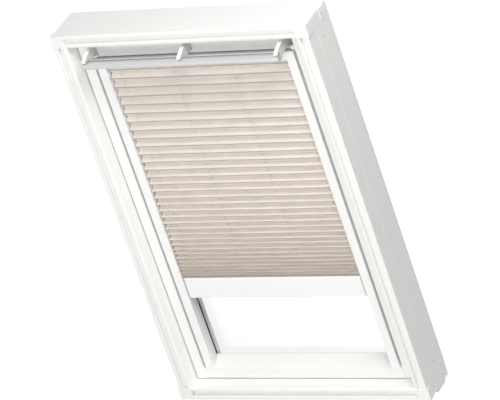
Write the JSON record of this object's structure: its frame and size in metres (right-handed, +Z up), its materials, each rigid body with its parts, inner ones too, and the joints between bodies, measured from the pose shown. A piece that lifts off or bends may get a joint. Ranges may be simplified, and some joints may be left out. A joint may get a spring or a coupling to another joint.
{
  "type": "centre-pivot roof window with pleated blind",
  "caption": "White centre-pivot roof window with a control bar, a ventilation flap and a beige pleated blind running in side channels.",
  "frame": {"origin": "middle of the underside of the frame sill, halfway through the frame's depth", "axes": "+X to the right seen from the room, +Y from the room to the outside, +Z up the roof slope"},
  "size_m": [0.786, 0.1585, 1.188],
  "materials": {
    "white_lacquer": "satin white coating over a timber core",
    "white_plastic": "fine matt moulded",
    "white_aluminium": "white powder coat",
    "bare_aluminium": "satin anodised",
    "lacquered_cladding": "pale lacquer",
    "zinc_steel": "zinc plated",
    "black_rubber": "matt",
    "clear_glass": "clear float glass",
    "grey_spacer": "satin",
    "beige_cloth": "pleated polyester",
    "cord": "braided polyester"
  },
  "bodies": {
    "frame": {"corner_block_bottom_left": "white_lacquer", "corner_block_bottom_right": "white_lacquer", "corner_block_top_left": "white_lacquer", "corner_block_top_right": "white_lacquer", "corner_screw_bottom_left": "zinc_steel", "corner_screw_bottom_right": "zinc_steel", "corner_screw_top_left": "zinc_steel", "corner_screw_top_right": "zinc_steel", "frame_head": "white_lacquer", "frame_sill": "white_lacquer", "friction_washer_left": "black_rubber", "friction_washer_right": "black_rubber", "jamb_left": "white_lacquer", "jamb_plate_left": "zinc_steel", "jamb_plate_right": "zinc_steel", "jamb_right": "white_lacquer", "striker_plate": "zinc_steel"},
    "sash": {"blind_channel_left": "white_aluminium", "blind_channel_right": "white_aluminium", "blind_headrail": "white_aluminium", "cover_bottom": "lacquered_cladding", "cover_left": "lacquered_cladding", "cover_right": "lacquered_cladding", "cover_top": "lacquered_cladding", "flap_rod": "zinc_steel", "headrail_cap_left": "white_plastic", "headrail_cap_right": "white_plastic", "latch_case": "white_plastic", "lift_cord_inner_left": "cord", "lift_cord_inner_right": "cord", "lift_cord_outer_left": "cord", "lift_cord_outer_right": "cord", "pane_inner": "clear_glass", "pane_outer": "clear_glass", "pane_spacer": "grey_spacer", "pivot_pin_left": "zinc_steel", "pivot_pin_right": "zinc_steel", "pleated_cloth": "beige_cloth", "rod_bracket_left": "white_plastic", "rod_bracket_right": "white_plastic", "sash_head": "white_lacquer", "sash_sill": "white_lacquer", "side_gasket_left": "black_rubber", "side_gasket_right": "black_rubber", "stile_left": "white_lacquer", "stile_plate_left": "zinc_steel", "stile_plate_right": "zinc_steel", "stile_right": "white_lacquer", "weather_seal_lower": "black_rubber", "weather_seal_upper": "black_rubber"},
    "flap": {"ventilation_flap": "white_lacquer", "control_bar": "bare_aluminium", "bar_arm_left": "white_plastic", "bar_arm_middle": "white_plastic", "bar_arm_right": "white_plastic"},
    "latch_tongue": {"latch_tongue": "zinc_steel"},
    "blind_bar": {"blind_bottom_bar": "white_aluminium", "bottom_bar_cap_left": "white_plastic", "bottom_bar_cap_right": "white_plastic"}
  },
  "joints": [
    {"name": "sash_pivot", "type": "hinge", "parent": "frame", "child": "sash", "pos_m": [0, -0.0035, 0.589], "axis": [1, 0, 0], "range_deg": [0, 170]},
    {"name": "flap_tilt", "type": "hinge", "parent": "sash", "child": "flap", "pos_m": [0, -0.0135, 1.089], "axis": [1, 0, 0], "range_deg": [0, 40]},
    {"name": "latch_slide", "type": "slide", "parent": "sash", "child": "latch_tongue", "axis": [0, 0, -1], "range_m": [0, 0.008]},
    {"name": "blind_slide", "type": "slide", "parent": "sash", "child": "blind_bar", "axis": [0, 0, 1], "range_m": [-0.216, 0.625], "deforming": ["pleated_cloth", "lift_cord_outer_left", "lift_cord_inner_left", "lift_cord_inner_right", "lift_cord_outer_right"]}
  ],
  "couplings": [
    {"joint": "latch_slide", "follows": "flap_tilt", "m_per_rad": 0.011448}
  ]
}
